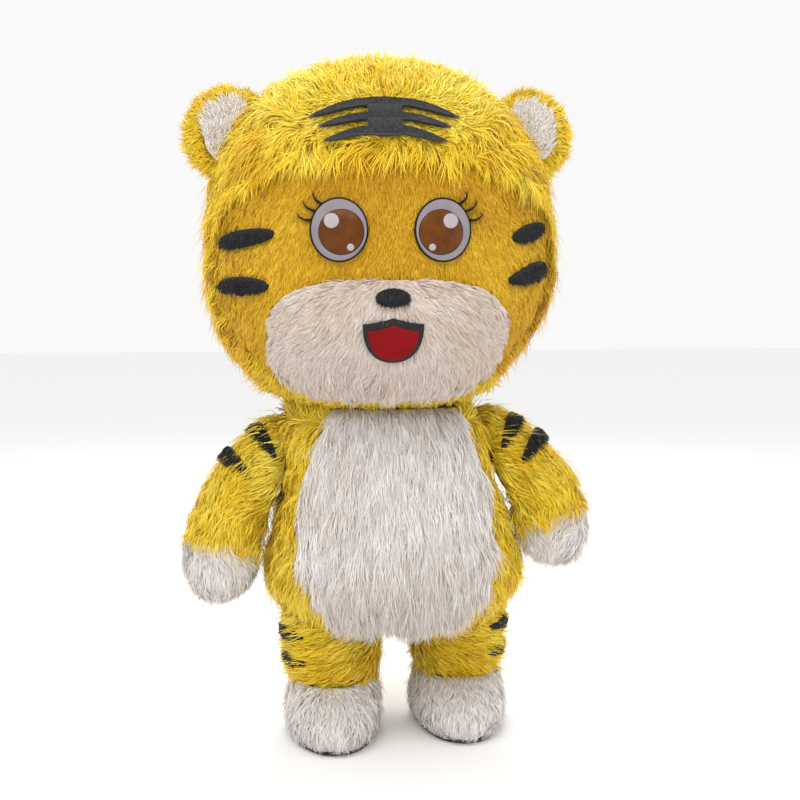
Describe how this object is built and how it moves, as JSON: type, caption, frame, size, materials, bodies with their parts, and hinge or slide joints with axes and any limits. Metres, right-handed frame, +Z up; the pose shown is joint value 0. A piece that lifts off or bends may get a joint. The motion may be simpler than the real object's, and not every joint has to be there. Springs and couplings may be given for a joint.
{
  "type": "inflatable plush tiger costume",
  "caption": "Hollow inflatable tiger suit in long plush pile with a large round head, white belly, paws and feet, black stripes and a back zip, standing filled out.",
  "frame": {"origin": "middle of the whole box's underside, on the floor between the soles", "axes": "+Z up, -Y towards the front of the suit, +X towards the wearer's left"},
  "size_m": [1.233, 0.9708, 2],
  "materials": {
    "yellow_long_pile": "long silky lemon to golden plush pile",
    "yellow_short_pile": "short golden plush pile",
    "white_pile": "long white plush pile with grey shade",
    "cream_pile": "short cream plush pile",
    "black_pile": "short black plush pile",
    "eye_cloth": "pale lavender grey woven cloth with a black edge",
    "brown_film": "glossy brown see-through film",
    "red_cloth": "crimson brushed cloth",
    "zip_tape": "woven yellow zip tape with a moulded chain",
    "zip_metal": "satin nickel",
    "grey_plastic": "matt dark grey moulded plastic",
    "sole_cloth": "dark grey coated sole cloth"
  },
  "bodies": {
    "suit": {"air_inlet": "grey_plastic", "arm_stripe_left_lower": "black_pile", "arm_stripe_left_upper": "black_pile", "arm_stripe_right_lower": "black_pile", "arm_stripe_right_upper": "black_pile", "belly": "white_pile", "brow_mark": "black_pile", "cheek_stripe_left_lower": "black_pile", "cheek_stripe_left_upper": "black_pile", "cheek_stripe_right_lower": "black_pile", "cheek_stripe_right_upper": "black_pile", "ear_front_left": "white_pile", "ear_front_right": "white_pile", "ear_left": "yellow_long_pile", "ear_right": "yellow_long_pile", "eye_left": "eye_cloth", "eye_right": "eye_cloth", "face_left": "yellow_short_pile", "face_right": "yellow_short_pile", "foot_left": "white_pile", "foot_right": "white_pile", "head_back": "yellow_long_pile", "iris_left": "brown_film", "iris_right": "brown_film", "leg_left": "yellow_long_pile", "leg_right": "yellow_long_pile", "leg_stripe_left_lower": "black_pile", "leg_stripe_left_upper": "black_pile", "leg_stripe_right_lower": "black_pile", "leg_stripe_right_upper": "black_pile", "mouth": "red_cloth", "mouth_edge": "black_pile", "muzzle_left": "cream_pile", "muzzle_right": "cream_pile", "nose": "black_pile", "paw_left": "white_pile", "paw_right": "white_pile", "sleeve_left": "yellow_long_pile", "sleeve_right": "yellow_long_pile", "sole_left": "sole_cloth", "sole_right": "sole_cloth", "torso_left": "yellow_long_pile", "torso_right": "yellow_long_pile", "zip_slider": "zip_metal", "zip_tape": "zip_tape"},
    "zip_pull": {"zip_pull": "zip_metal"}
  },
  "joints": [
    {"name": "zip_pull_hinge", "type": "hinge", "parent": "suit", "child": "zip_pull", "pos_m": [-0.00512, 0.30992, 0.88383], "axis": [1, 0, 0], "range_deg": [0, 150]}
  ]
}
